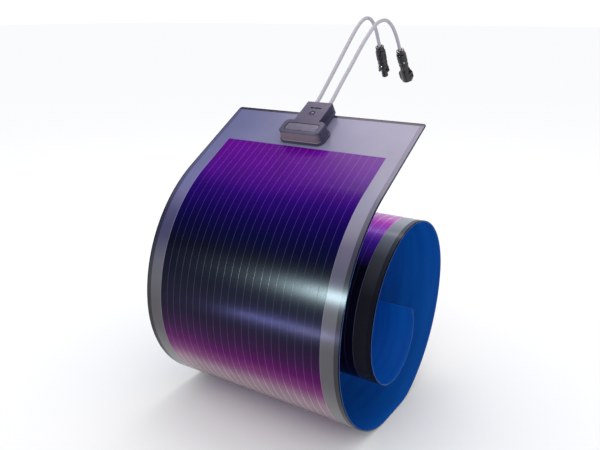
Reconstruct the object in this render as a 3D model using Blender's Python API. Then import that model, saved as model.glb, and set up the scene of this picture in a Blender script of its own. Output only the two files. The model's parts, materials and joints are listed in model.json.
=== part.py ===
"""Flexible solar sheet, partly rolled, with a junction box and two connector leads.

Metres, +Z up. X runs along the roll's axis, -Y is the side the cell face looks to, and the
roll stands on the floor at Z = 0. The sheet is one laminate in the real thing. Here it is
a chain of twelve strips, each rigid, hinged on the line of the cell face, so that it unrolls.
"""

import math

import bmesh
import bpy
from mathutils import Matrix, Vector

# ---------------------------------------------------------------- driving dimensions
SHEET_WIDTH = 0.436
TAIL_LENGTH = 0.197              # straight free end that carries the junction box
TAIL_SLOPE = math.radians(30)    # the free end rises backwards at this angle
STRIP_TURN = math.radians(60)    # turn of each rolled strip
END_TURN = math.radians(30)      # turn of the innermost strip
STRIP_RADII = (0.292, 0.227, None, 0.248, 0.154, 0.155, 0.194, 0.126, 0.088, 0.086)
END_RADIUS = 0.086
BASE_STRIP = 3                   # the strip that stands on the floor
BASE_RADII = (0.174, 0.118)      # its arcs, in front of and behind a flat middle
BASE_FLAT = 0.062                # the flat lies under the centre of mass
STRIP_GAP = 0.0003               # clearance between neighbouring strips
FACETS_PER_ARC = 8

FRONT_FILM = (0.0, -0.0005)      # outer and inner level, measured from the cell face
CELL_FILM = (-0.0008, -0.0011)
LINER = (-0.0014, -0.0020)
CELL_HALF_WIDTH = 0.1805         # active area, inside a clear margin
CELL_START = 0.1045              # distance of the active area from the sheet's free end
GAP = 0.0003                     # clearance between pieces that touch

BOX_X = -0.009                   # junction box centre line
BOX_TOP = 0.026                  # height of its top over the cell face
PAD_LEVELS = (0.0003, 0.0011)
PAD_MARGIN = 0.0005              # the adhesive pad stands back from the flange by this
FLANGE_LEVELS = (0.0014, 0.0034)
FLANGE_MARGIN = 0.0030
FLOOR_TOP = 0.0040               # inside floor of the box
HEAD_BACK, HEAD_FRONT = -0.052, -0.095
HEAD_HALF_WIDTH = 0.0485
HEAD_CORNER = 0.0135
HEAD_DRAFT = 0.0008
HEAD_CROWN = 0.0016              # bevel round the top of the head
WALL = 0.0030
NECK_HALF_WIDTH = 0.0285
NECK_DRAFT = 0.0010
NECK_END = 0.0065
NECK_OVERLAP = 0.0100            # length of neck that is merged into the head
STEP_WIDTH = 0.0030              # the step along the foot of each flank
STEP_TOP = 0.0100
RIB_COUNT = 5
RIB_PITCH = 0.0026
RIB_GROOVE = 0.0012              # width of the grooves between the grip ribs
RIB_START = 0.0112

LID_CENTRE_Y = -0.0745
LID_HALF = (0.0375, 0.0115)
LID_RADIUS = 0.007
LID_BEVEL = 0.0014
LID_LIP = 0.0030                 # width of the ledge that the lid's gasket sits on
LID_LEDGE = 0.0215
LID_WALL = 0.0012
GASKET_SPACE = 0.0016            # height between the ledge and the lid's rim

SLOT_Y = (-0.0155, -0.0115)      # the latch slot across the top of the neck
SLOT_HALF_WIDTH = 0.0125
LATCH_DEPTH = 0.0022             # the latch ends this far under the box's top
CLAMP_HALF_WIDTH = 0.0252
CLAMP_LEVELS = (0.0068, 0.0222)
CLAMP_BACK = -0.0170
SEAL_BACK = -0.0007
SEAL_RADIUS = 0.0056
VENT_Y = -0.0300
VENT_RADIUS = 0.0024
VENT_CAP = 0.0045
VENT_RECESS = 0.0060

RIBBON_X = 0.012                 # output ribbons, each side of the box's centre line
RIBBON_Y = -0.0700
RIBBON_HALF = 0.0025
RIBBON_THICKNESS = 0.0006        # of the riser, folded up into the box
RIBBON_CLEARANCE = 0.0008
TERMINAL_LEVELS = (0.0068, 0.0080)
TERMINAL_X = (0.0075, 0.0300)
TERMINAL_Y = (-0.0745, -0.0640)
TONGUE_Y = (-0.0660, -0.0580)    # the crimp tongue that rises to the conductor
TONGUE_HALF_WIDTH = 0.0022
CONDUCTOR_START = -0.0600
DIODE_RADIUS = 0.0024
DIODE_HALF = 0.0042
DIODE_LEAD_RADIUS = 0.0005
DIODE_LEAD_END = 0.0130

LEAD_DIAMETER = 0.0080
LEAD_HEIGHT = 0.0165
LEAD_SPACING = 0.032
LEAD_START = -0.022              # the jacket ends here, inside the neck
BORE_RADIUS = 0.0043
CONDUCTOR_RADIUS = 0.0014

# Free routes of the two leads over the sheet's free end: (outwards, above the cell face).
LEAD_A_ROUTE = ((0.0065, 0.0165), (0.026, 0.0175), (0.061, 0.0240), (0.112, 0.0345),
                (0.1665, 0.0462), (0.2225, 0.0572), (0.2512, 0.0592), (0.2772, 0.0540),
                (0.2952, 0.0400), (0.3047, 0.0200), (0.3082, -0.0070), (0.3072, -0.0360))
LEAD_B_ROUTE = ((0.0065, 0.0165), (0.026, 0.0175), (0.073, 0.0265), (0.130, 0.0360),
                (0.190, 0.0466), (0.246, 0.0510), (0.2743, 0.0470), (0.302, 0.0345),
                (0.3205, 0.0155), (0.3315, -0.0068), (0.3385, -0.0350), (0.3415, -0.0665))
ROUTE_STEP = 0.015
ROUTE_FINENESS = 20              # points worked out between two of a route's own points
LEAD_HIDDEN = 0.0320             # length of lead inside a connector

# Connectors: heights are measured from the back of the nut, along the lead, to the mating end.
# Their radii and cross-sections are drawn for a slim connector and widened by the girth.
CONNECTOR_GIRTH = 1.3
NUT_LENGTH = 0.0400
NUT_FLUTES = 10
FLUTE_RADIUS = 0.0014
SHELL_START = 0.0140             # back end of the shell's threaded barrel, inside the nut
SHOULDER = NUT_LENGTH + GAP
CAVITY_END = 0.0380              # the wire seal's bore ends here
SEAL_START, SEAL_END = 0.0253, 0.0360
CONTACT_START = LEAD_HIDDEN + GAP
THROAT_END = 0.0560
PLUG_LENGTH = 0.0800
SOCKET_LENGTH = 0.0900
BARREL, CAVITY, THROAT, NOSE_BORE, SOCKET_MOUTH = 0.0069, 0.0059, 0.0027, 0.0034, 0.0066
JACKET_BORE = (LEAD_DIAMETER / 2 + GAP) / CONNECTOR_GIRTH
BARREL_THREAD = 0.0072
GRIP = 0.0090
CONTACT_RADIUS = 0.0024
LATCH_Y = 0.0026
LATCH_X = 0.0084                 # the plug's latch arms, each side of its axis
LATCH_WINDOW = (0.0700, 0.0785)
WING_START, WING_END = 0.0670, 0.0815
FLAT_DEPTH = 0.0076
FLAT_RANGE = (0.0475, 0.0540)

ROUND = 24                       # sides of a turned piece
SMALL_ROUND = 12                 # sides of a conductor
OVERRUN = 0.001                  # a cutter reaches this far past the face it opens


# ---------------------------------------------------------------- materials
MATERIALS = {
    "film": ((0.34, 0.33, 0.42), 0.18, 0.0),
    "cells": ((0.09, 0.02, 0.20), 0.25, 0.3),
    "liner": ((0.01, 0.10, 0.38), 0.40, 0.0),
    "box": ((0.085, 0.080, 0.100), 0.30, 0.0),
    "lid": ((0.100, 0.095, 0.120), 0.20, 0.0),
    "tape": ((0.020, 0.020, 0.022), 0.80, 0.0),
    "rubber": ((0.025, 0.025, 0.027), 0.70, 0.0),
    "lead": ((0.42, 0.41, 0.45), 0.45, 0.0),
    "connector": ((0.020, 0.020, 0.022), 0.35, 0.0),
    "collet": ((0.060, 0.060, 0.065), 0.45, 0.0),
    "brass": ((0.78, 0.60, 0.30), 0.28, 1.0),
    "copper": ((0.85, 0.70, 0.55), 0.30, 1.0),
    "diode": ((0.030, 0.030, 0.032), 0.40, 0.0),
}


def new_material(name):
    colour, roughness, metallic = MATERIALS[name]
    material = bpy.data.materials.new(name)
    material.use_nodes = True
    shader = material.node_tree.nodes["Principled BSDF"]
    shader.inputs["Base Color"].default_value = (*colour, 1.0)
    shader.inputs["Roughness"].default_value = roughness
    shader.inputs["Metallic"].default_value = metallic
    return material


# ---------------------------------------------------------------- mesh helpers
def clear_scene():
    for item in list(bpy.data.objects):
        bpy.data.objects.remove(item, do_unlink=True)


def make_object(name, mesh, material=None, parent=None, smooth=False):
    """One named object with its own material."""
    item = bpy.data.objects.new(name, mesh)
    bpy.context.scene.collection.objects.link(item)
    if material:
        mesh.materials.append(new_material(material))
    if smooth:
        mesh.shade_smooth()
        mesh.set_sharp_from_angle(angle=math.radians(35))
    item.parent = parent
    return item


def mesh_from_bmesh(name, shape):
    mesh = bpy.data.meshes.new(name)
    bmesh.ops.recalc_face_normals(shape, faces=shape.faces)
    shape.to_mesh(mesh)
    shape.free()
    return mesh


def add_loft(shape, *levels):
    """Close a solid through outlines of equal count, each given with its height."""
    rings = [[shape.verts.new((x, y, height)) for x, y in outline] for outline, height in levels]
    shape.faces.new(list(reversed(rings[0])))
    shape.faces.new(rings[-1])
    count = len(rings[0])
    for lower, upper in zip(rings, rings[1:]):
        for i in range(count):
            j = (i + 1) % count
            shape.faces.new((lower[i], lower[j], upper[j], upper[i]))


def add_prism(shape, outline, low, high, top_outline=None):
    """Close a solid between an outline at height low and one at height high."""
    add_loft(shape, (outline, low), (top_outline or outline, high))


def prism_mesh(name, *prisms):
    """A mesh of separate prisms, each given as add_prism's arguments."""
    shape = bmesh.new()
    for prism in prisms:
        add_prism(shape, *prism)
    return mesh_from_bmesh(name, shape)


def rectangle(half_x, y0, y1, x=0.0):
    return [(x - half_x, y0), (x + half_x, y0), (x + half_x, y1), (x - half_x, y1)]


def rounded_rectangle(half_x, y0, y1, radius, x=0.0, steps=4):
    corners = ((x + half_x - radius, y0 + radius, -90), (x + half_x - radius, y1 - radius, 0),
               (x - half_x + radius, y1 - radius, 90), (x - half_x + radius, y0 + radius, 180))
    points = []
    for cx, cy, start in corners:
        for k in range(steps + 1):
            angle = math.radians(start + 90.0 * k / steps)
            points.append((cx + radius * math.cos(angle), cy + radius * math.sin(angle)))
    return points


def add_turned(shape, profile, matrix=None, sides=ROUND):
    """Turn a closed (radius, height) outline about Z. Zero radius closes on the axis."""
    rings = []
    for radius, height in profile:
        if radius < 1e-9:
            rings.append([shape.verts.new((0.0, 0.0, height))])
            continue
        ring = []
        for k in range(sides):
            angle = 2.0 * math.pi * k / sides
            ring.append(shape.verts.new((radius * math.cos(angle), radius * math.sin(angle), height)))
        rings.append(ring)
    pairs = list(zip(rings, rings[1:]))
    if profile[0][0] > 1e-9 and profile[-1][0] > 1e-9:
        pairs.append((rings[-1], rings[0]))
    for first, second in pairs:
        for k in range(sides):
            n = (k + 1) % sides
            if len(first) == 1:
                shape.faces.new((first[0], second[k], second[n]))
            elif len(second) == 1:
                shape.faces.new((first[k], second[0], first[n]))
            else:
                shape.faces.new((first[k], second[k], second[n], first[n]))
    if matrix is not None:
        verts = [v for ring in rings for v in ring]
        bmesh.ops.transform(shape, matrix=matrix, verts=verts)


def turned_mesh(name, profile, *matrices, sides=ROUND):
    shape = bmesh.new()
    for matrix in matrices or (Matrix.Identity(4),):
        add_turned(shape, profile, matrix, sides)
    return mesh_from_bmesh(name, shape)


def boolean(item, mesh, operation, parent=None):
    """Apply a mesh to an object as a cutter or an added volume, kept as a hidden object."""
    tool = make_object(f"{item.name}_{operation.lower()}_{len(item.modifiers)}", mesh, parent=parent)
    tool.hide_render = True
    tool.display_type = "WIRE"
    modifier = item.modifiers.new(operation.title(), "BOOLEAN")
    modifier.operation = operation
    modifier.solver = "EXACT"
    modifier.object = tool


# ---------------------------------------------------------------- the roll's outline
def strip_segments(index):
    """(length, turn) of each stretch of one strip, from the free end inwards."""
    if index == 0:
        return [(TAIL_LENGTH, 0.0)]
    if index > len(STRIP_RADII):
        return [(END_RADIUS * END_TURN, END_TURN)]
    if index == BASE_STRIP:
        before, after = [(radius * STRIP_TURN / 2, STRIP_TURN / 2) for radius in BASE_RADII]
        return [before, (BASE_FLAT, 0.0), after]
    return [(STRIP_RADII[index - 1] * STRIP_TURN, STRIP_TURN)]


STRIP_COUNT = len(STRIP_RADII) + 2


def advance(point, heading, length, turn):
    """The end of an arc or a straight stretch in the Y-Z plane."""
    if abs(turn) < 1e-9:
        step = Vector((math.cos(heading), math.sin(heading))) * length
        return point + step, heading
    radius = length / turn
    end = heading + turn
    step = Vector((math.sin(end) - math.sin(heading), math.cos(heading) - math.cos(end))) * radius
    return point + step, end


def roll_stations():
    """For each strip, its (point, heading) stations on the cell face."""
    point, heading = Vector((0.0, 0.0)), math.pi + TAIL_SLOPE
    strips = []
    for index in range(STRIP_COUNT):
        stations = [(point, heading)]
        for length, turn in strip_segments(index):
            steps = max(1, round(FACETS_PER_ARC * turn / STRIP_TURN))
            start = (point, heading)
            for k in range(1, steps + 1):
                point, heading = advance(*start, length * k / steps, turn * k / steps)
                stations.append((point, heading))
        strips.append(stations)
    return strips


def trim(stations, at_start, at_end):
    """Pull the first and last station in by half of the gap between strips."""
    trimmed = list(stations)
    for end, wanted, sign in ((0, at_start, 1.0), (-1, at_end, -1.0)):
        if wanted:
            point, heading = trimmed[end]
            step = Vector((math.cos(heading), math.sin(heading))) * (sign * STRIP_GAP / 2)
            trimmed[end] = (point + step, heading)
    return trimmed


def roll_origin(strips):
    """Middle of the roll's depth and the level of its lowest line."""
    depth = [point.x for stations in strips for point, _ in stations]
    height = [point.y for stations in strips for point, _ in stations]
    return Vector(((min(depth) + max(depth)) / 2, min(height)))


def strip_mesh(name, stations, half_width, levels):
    """A strip of film between two levels, measured outwards from the cell face."""
    shape = bmesh.new()
    rings = []
    for point, heading in stations:
        outward = Vector((math.sin(heading), -math.cos(heading)))
        ring = []
        for side, level in ((-1, levels[0]), (1, levels[0]), (1, levels[1]), (-1, levels[1])):
            spot = point + outward * level
            ring.append(shape.verts.new((side * half_width, spot.x, spot.y)))
        rings.append(ring)
    shape.faces.new(rings[0])
    shape.faces.new(list(reversed(rings[-1])))
    for first, second in zip(rings, rings[1:]):
        for k in range(4):
            n = (k + 1) % 4
            shape.faces.new((first[k], second[k], second[n], first[n]))
    return mesh_from_bmesh(name, shape)


def build_sheet(strips, origin):
    """Front film, cell film and adhesive-backed liner of every strip."""
    for index, stations in enumerate(strips):
        placed = [(point - origin, heading) for point, heading in stations]
        placed = trim(placed, index > 0, index < STRIP_COUNT - 1)
        half = SHEET_WIDTH / 2
        label = f"{index:02d}"
        make_object(f"front_film_{label}", strip_mesh("front_film", placed, half, FRONT_FILM), "film")
        make_object(f"liner_{label}", strip_mesh("liner", placed, half, LINER), "liner")
        if index == 0:
            start, heading = placed[0]
            along = Vector((math.cos(heading), math.sin(heading)))
            placed[0] = (start + along * CELL_START, heading)
        if index < STRIP_COUNT - 1:      # the innermost strip is clear margin
            cells = strip_mesh("cell_film", placed, CELL_HALF_WIDTH, CELL_FILM)
            make_object(f"cell_film_{label}", cells, "cells")


# ---------------------------------------------------------------- junction box
def head_outline(margin):
    """Outline of the box's head with round corners, grown by a margin."""
    return rounded_rectangle(HEAD_HALF_WIDTH + margin, HEAD_FRONT - margin, HEAD_BACK + margin,
                             HEAD_CORNER + margin, steps=6)


def footprint(margin, neck_end):
    """Head and neck as one outline on the sheet."""
    head = head_outline(margin)
    half = len(head) // 2
    x, back = NECK_HALF_WIDTH + margin * 0.6, HEAD_BACK + margin
    neck = [(x, back), (x, neck_end), (-x, neck_end), (-x, back)]
    return head[:half] + neck + head[half:]


def lid_outline(inset, radius):
    """Outline of the lid's opening, drawn in by an inset."""
    y0, y1 = LID_CENTRE_Y - LID_HALF[1], LID_CENTRE_Y + LID_HALF[1]
    return rounded_rectangle(LID_HALF[0] - inset, y0 + inset, y1 - inset, radius)


def ribbon_slots(grow):
    """The two passages of the output ribbons."""
    return [(rectangle(RIBBON_HALF + grow, RIBBON_Y - RIBBON_HALF - grow, RIBBON_Y + RIBBON_HALF + grow,
                       side * RIBBON_X)) for side in (-1, 1)]


def lead_matrix(side, y):
    """Z along the sheet, outwards, on a lead's axis in the neck."""
    spot = Matrix.Translation((side * LEAD_SPACING / 2, y, LEAD_HEIGHT))
    return spot @ Matrix.Rotation(-math.pi / 2, 4, "X")


def rod_mesh(name, radius, y0, y1, sides=ROUND):
    """Two parallel rods on the axes of the leads."""
    profile = [(0.0, 0.0), (radius, 0.0), (radius, y1 - y0), (0.0, y1 - y0)]
    return turned_mesh(name, profile, lead_matrix(-1, y0), lead_matrix(1, y0), sides=sides)


def build_box_base(frame):
    """Head, neck and flange in one moulding, hollow, with the neck open at its end."""
    shape = bmesh.new()
    add_loft(shape, (head_outline(0.0), FLANGE_LEVELS[1] - OVERRUN),
             (head_outline(-HEAD_DRAFT), BOX_TOP - HEAD_CROWN),
             (head_outline(-HEAD_DRAFT - HEAD_CROWN), BOX_TOP))
    base = make_object("box_base", mesh_from_bmesh("box_base", shape), "box", frame)
    merged = HEAD_BACK - NECK_OVERLAP
    neck = rectangle(NECK_HALF_WIDTH + NECK_DRAFT, merged, NECK_END)
    neck_top = rectangle(NECK_HALF_WIDTH, merged, NECK_END - NECK_DRAFT / 2)
    boolean(base, prism_mesh("neck", (neck, FLANGE_LEVELS[0], BOX_TOP - 0.0004, neck_top)), "UNION", frame)
    step = rectangle(NECK_HALF_WIDTH + STEP_WIDTH, merged, 0.0)
    boolean(base, prism_mesh("step", (step, FLANGE_LEVELS[0], STEP_TOP)), "UNION", frame)
    boolean(base, prism_mesh("flange", (footprint(FLANGE_MARGIN, -0.003), *FLANGE_LEVELS)), "UNION", frame)

    cavity = head_outline(-WALL - HEAD_DRAFT)
    well = lid_outline(0.0, LID_RADIUS)
    throat = lid_outline(LID_LIP, LID_RADIUS / 2)
    ceiling = LID_LEDGE - 0.0025
    boolean(base, prism_mesh("cavity", (cavity, FLOOR_TOP, ceiling)), "DIFFERENCE", frame)
    boolean(base, prism_mesh("throat", (throat, ceiling - OVERRUN, BOX_TOP)), "DIFFERENCE", frame)
    boolean(base, prism_mesh("well", (well, LID_LEDGE, BOX_TOP + OVERRUN)), "DIFFERENCE", frame)
    clamp_pocket = rectangle(CLAMP_HALF_WIDTH + GAP, CLAMP_BACK - GAP, NECK_END + OVERRUN)
    pocket = (clamp_pocket, CLAMP_LEVELS[0] - GAP, CLAMP_LEVELS[1] + GAP)
    boolean(base, prism_mesh("pocket", pocket), "DIFFERENCE", frame)
    slot = (rectangle(SLOT_HALF_WIDTH, *SLOT_Y), CLAMP_LEVELS[1] - OVERRUN, BOX_TOP + OVERRUN)
    boolean(base, prism_mesh("slot", slot), "DIFFERENCE", frame)
    bores = rod_mesh("bores", BORE_RADIUS, LEAD_START - GAP, CLAMP_BACK + OVERRUN)
    boolean(base, bores, "DIFFERENCE", frame)
    conductors = rod_mesh("conductor_bores", CONDUCTOR_RADIUS + GAP, merged, LEAD_START, SMALL_ROUND)
    boolean(base, conductors, "DIFFERENCE", frame)
    slots = [(outline, 0.0, FLOOR_TOP + OVERRUN) for outline in ribbon_slots(RIBBON_CLEARANCE)]
    boolean(base, prism_mesh("ribbon_slots", *slots), "DIFFERENCE", frame)
    recess = [(0.0, -0.0055), (VENT_RADIUS, -0.0055), (VENT_RADIUS, -0.0016), (VENT_RECESS, -0.0016),
              (VENT_RECESS + 0.0008, 0.0), (VENT_RECESS + 0.0008, OVERRUN), (0.0, OVERRUN)]
    boolean(base, turned_mesh("vent_recess", recess, vent_matrix()), "DIFFERENCE", frame)
    boolean(base, rib_grooves(), "DIFFERENCE", frame)


def vent_matrix():
    """The vent plug's seat on top of the neck."""
    return Matrix.Translation((0.0, VENT_Y, BOX_TOP - 0.0004))


def rib_grooves():
    """Grooves along both flanks of the neck, which leave grip ribs between them."""
    prisms = []
    for side in (-1, 1):
        for k in range(RIB_COUNT):
            low = RIB_START + RIB_PITCH * k
            outline = rectangle(0.0024, HEAD_BACK + 0.006, -0.001, side * (NECK_HALF_WIDTH + 0.0016))
            prisms.append((outline, low, low + RIB_GROOVE))
    return prism_mesh("grooves", *prisms)


def build_pad(frame):
    pad = prism_mesh("pad", (footprint(FLANGE_MARGIN - PAD_MARGIN, -0.0035), *PAD_LEVELS))
    item = make_object("box_adhesive_pad", pad, "tape", frame)
    slots = [(outline, PAD_LEVELS[0] - OVERRUN, PAD_LEVELS[1] + OVERRUN)
             for outline in ribbon_slots(RIBBON_CLEARANCE)]
    boolean(item, prism_mesh("pad_slots", *slots), "DIFFERENCE", frame)


def build_lid(frame):
    """Lid with a rim that lies on the gasket and a plug that reaches into the throat."""
    rim_low = LID_LEDGE + GASKET_SPACE
    inset = LID_LIP + GAP
    shape = bmesh.new()
    add_prism(shape, lid_outline(GAP, LID_RADIUS - GAP), rim_low, BOX_TOP - 0.0006,
              lid_outline(LID_BEVEL, LID_RADIUS - LID_BEVEL))
    lid = make_object("box_lid", mesh_from_bmesh("box_lid", shape), "lid", frame)
    plug = lid_outline(inset, LID_RADIUS / 2 - GAP)
    boolean(lid, prism_mesh("lid_plug", (plug, LID_LEDGE - 0.0035, rim_low + 0.0005)), "UNION", frame)
    hollow = lid_outline(inset + LID_WALL, LID_WALL)
    boolean(lid, prism_mesh("lid_hollow", (hollow, LID_LEDGE - 0.004, rim_low)), "DIFFERENCE", frame)
    front = LID_CENTRE_Y - LID_HALF[1]
    tab = rounded_rectangle(0.0032, front + 0.0016, front + 0.0040, 0.0010, steps=3)
    boolean(lid, prism_mesh("lid_tab", (tab, BOX_TOP - 0.0012, BOX_TOP + 0.0003)), "UNION", frame)

    ring = lid_outline(0.0005, LID_RADIUS - 0.0005)
    seal_mesh = prism_mesh("lid_gasket", (ring, LID_LEDGE + GAP, rim_low - GAP))
    seal = make_object("lid_gasket", seal_mesh, "rubber", frame)
    hole = lid_outline(LID_LIP - 0.0004, LID_RADIUS / 2 + 0.0004)
    boolean(seal, prism_mesh("gasket_hole", (hole, LID_LEDGE - OVERRUN, BOX_TOP)), "DIFFERENCE", frame)


def build_terminals(frame):
    """A soldering plate over each ribbon, joined to the crimped end of its lead."""
    inner, outer = TERMINAL_X
    for side, name in ((-1, "terminal_a"), (1, "terminal_b")):
        plate = rectangle((outer - inner) / 2, *TERMINAL_Y, side * (inner + outer) / 2)
        item = make_object(name, prism_mesh(name, (plate, *TERMINAL_LEVELS)), "brass", frame)
        tongue = rectangle(TONGUE_HALF_WIDTH, *TONGUE_Y, side * LEAD_SPACING / 2)
        boolean(item, prism_mesh("tongue", (tongue, TERMINAL_LEVELS[0], LEAD_HEIGHT)), "UNION", frame)
        length = LEAD_START - GAP - CONDUCTOR_START
        rod = [(0.0, 0.0), (CONDUCTOR_RADIUS, 0.0), (CONDUCTOR_RADIUS, length), (0.0, length)]
        conductor = turned_mesh("conductor", rod, lead_matrix(side, CONDUCTOR_START), sides=SMALL_ROUND)
        boolean(item, conductor, "UNION", frame)

    shoulder = DIODE_HALF - 0.0004
    profile = [(0.0, -DIODE_LEAD_END), (DIODE_LEAD_RADIUS, -DIODE_LEAD_END), (DIODE_LEAD_RADIUS, -DIODE_HALF),
               (DIODE_RADIUS, -shoulder), (DIODE_RADIUS, shoulder), (DIODE_LEAD_RADIUS, DIODE_HALF),
               (DIODE_LEAD_RADIUS, DIODE_LEAD_END), (0.0, DIODE_LEAD_END)]
    level = TERMINAL_LEVELS[1] + GAP + DIODE_LEAD_RADIUS
    across = Matrix.Translation((0.0, -0.0720, level)) @ Matrix.Rotation(math.pi / 2, 4, "Y")
    make_object("bypass_diode", turned_mesh("bypass_diode", profile, across, sides=16), "diode", frame, True)


def build_ribbons(frame):
    """Flat conductors from the outer edges of the cell film up into the box."""
    low, high = CELL_FILM[1], CELL_FILM[0]
    y0, y1 = RIBBON_Y - RIBBON_HALF, RIBBON_Y + RIBBON_HALF
    top = TERMINAL_LEVELS[0] - GAP
    bus_end = CELL_HALF_WIDTH - 0.001
    for side, name in ((-1, "output_ribbon_a"), (1, "output_ribbon_b")):
        edge = side * bus_end - BOX_X
        x = side * RIBBON_X
        flat = [(min(x - RIBBON_HALF * side, edge), y0), (max(x - RIBBON_HALF * side, edge), y0),
                (max(x - RIBBON_HALF * side, edge), y1), (min(x - RIBBON_HALF * side, edge), y1)]
        item = make_object(name, prism_mesh(name, (flat, low, high)), "copper", frame)
        riser = rectangle(RIBBON_HALF, RIBBON_Y - RIBBON_THICKNESS / 2, RIBBON_Y + RIBBON_THICKNESS / 2, x)
        boolean(item, prism_mesh("riser", (riser, low, top)), "UNION", frame)
        drop = rectangle(RIBBON_HALF, -CELL_START + GAP, y1, edge - side * RIBBON_HALF)
        boolean(item, prism_mesh("bus", (drop, low, high)), "UNION", frame)


def stadium_mesh(name, radius, y0, y1):
    """A block with round ends that takes in both leads, square to their axes."""
    half = LEAD_SPACING / 2 + radius
    outline = rounded_rectangle(half, -radius, radius, radius, steps=6)
    shape = bmesh.new()
    add_prism(shape, outline, 0.0, y1 - y0)
    across = Matrix.Translation((0.0, y0, LEAD_HEIGHT)) @ Matrix.Rotation(-math.pi / 2, 4, "X")
    bmesh.ops.transform(shape, matrix=across, verts=shape.verts)
    return mesh_from_bmesh(name, shape)


def build_neck_fittings(frame):
    """Latching clamp insert, the seal that both leads pass through, and the vent plug."""
    block = rectangle(CLAMP_HALF_WIDTH, CLAMP_BACK, NECK_END - 0.0006)
    clamp = make_object("lead_clamp", prism_mesh("lead_clamp", (block, *CLAMP_LEVELS)), "collet", frame)
    latch = rectangle(SLOT_HALF_WIDTH - 0.001, SLOT_Y[0] + GAP, SLOT_Y[1] - GAP)
    tongue = (latch, CLAMP_LEVELS[1] - OVERRUN, BOX_TOP - LATCH_DEPTH)
    boolean(clamp, prism_mesh("latch", tongue), "UNION", frame)
    bores = rod_mesh("clamp_bores", BORE_RADIUS, CLAMP_BACK - OVERRUN, NECK_END)
    boolean(clamp, bores, "DIFFERENCE", frame)
    seat = stadium_mesh("seal_seat", SEAL_RADIUS, SEAL_BACK - GAP, NECK_END)
    boolean(clamp, seat, "DIFFERENCE", frame)

    seal_mesh = stadium_mesh("lead_seal", SEAL_RADIUS - GAP, SEAL_BACK, NECK_END)
    seal = make_object("lead_seal", seal_mesh, "rubber", frame)
    bores = rod_mesh("seal_bores", BORE_RADIUS, SEAL_BACK - OVERRUN, NECK_END + OVERRUN)
    boolean(seal, bores, "DIFFERENCE", frame)

    stem = VENT_RADIUS - GAP
    plug = [(0.0, -0.0050), (stem, -0.0050), (stem, -0.0013), (VENT_CAP, -0.0013), (VENT_CAP, -0.0002),
            (VENT_CAP - 0.0009, 0.0004), (VENT_CAP / 2, 0.0007), (0.0, 0.0008)]
    make_object("vent_plug", turned_mesh("vent_plug", plug, vent_matrix()), "lid", frame, True)


# ---------------------------------------------------------------- leads
def smooth_route(points, step):
    """Points at even steps along a Catmull-Rom curve through the route's own points."""
    points = [Vector(p) for p in points]
    padded = [2 * points[0] - points[1]] + points + [2 * points[-1] - points[-2]]
    fine = []
    for a, b, c, d in zip(padded, padded[1:], padded[2:], padded[3:]):
        for k in range(ROUTE_FINENESS):
            t = k / ROUTE_FINENESS
            fine.append(0.5 * (2 * b + (c - a) * t + (2 * a - 5 * b + 4 * c - d) * t ** 2
                               + (3 * b - a - 3 * c + d) * t ** 3))
    fine.append(points[-1])
    total = sum((q - p).length for p, q in zip(fine, fine[1:]))
    count = round(total / step)
    spots, travelled, target = [fine[0]], 0.0, total / count
    for p, q in zip(fine, fine[1:]):
        length = (q - p).length
        while travelled + length >= target * len(spots) - 1e-9 and len(spots) < count:
            spots.append(p.lerp(q, (target * len(spots) - travelled) / length))
        travelled += length
    spots.append(fine[-1])
    return spots


def lead_route(route, side):
    """A lead's whole centre line in the box's frame, from inside the neck into its connector."""
    x = side * LEAD_SPACING / 2
    inside = Vector((x, LEAD_START, LEAD_HEIGHT))
    free = [Vector((x, out, up)) for out, up in route]
    along = (free[-1] - free[-2]).normalized()
    points = [inside, inside.lerp(free[0], 0.5)] + free + [free[-1] + along * LEAD_HIDDEN]
    return smooth_route(points, ROUTE_STEP), free[-1], along


def build_lead(name, route, side, frame):
    """The lead's tube, and the place and direction of its connector's back end."""
    points, entry, along = lead_route(route, side)
    curve = bpy.data.curves.new(name, "CURVE")
    curve.dimensions = "3D"
    curve.bevel_depth = LEAD_DIAMETER / 2
    curve.bevel_resolution = 3
    curve.use_fill_caps = True
    spline = curve.splines.new("POLY")
    spline.points.add(len(points) - 1)
    for spot, point in zip(spline.points, points):
        spot.co = (*point, 1.0)
    curve.materials.append(new_material("lead"))
    item = bpy.data.objects.new(name, curve)
    bpy.context.scene.collection.objects.link(item)
    item.parent = frame
    across = Vector((1.0, 0.0, 0.0))
    place = Matrix((across, along.cross(across), along)).transposed().to_4x4()
    place.translation = entry
    return place


# ---------------------------------------------------------------- connectors
def cavity_profile(mouth, mouth_radius):
    """The stepped bore that both shells share, from the mating end to the back."""
    return [(mouth_radius, mouth), (mouth_radius, THROAT_END), (THROAT, THROAT_END),
            (THROAT, CAVITY_END), (CAVITY, CAVITY_END), (CAVITY, SHELL_START)]


def shell_back():
    """Barrel, shoulder ring and waist that both shells share."""
    return [(BARREL, SHELL_START), (BARREL, SHOULDER), (0.0088, SHOULDER), (0.0088, SHOULDER + 0.0038),
            (0.0080, SHOULDER + 0.0050)]


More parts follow.
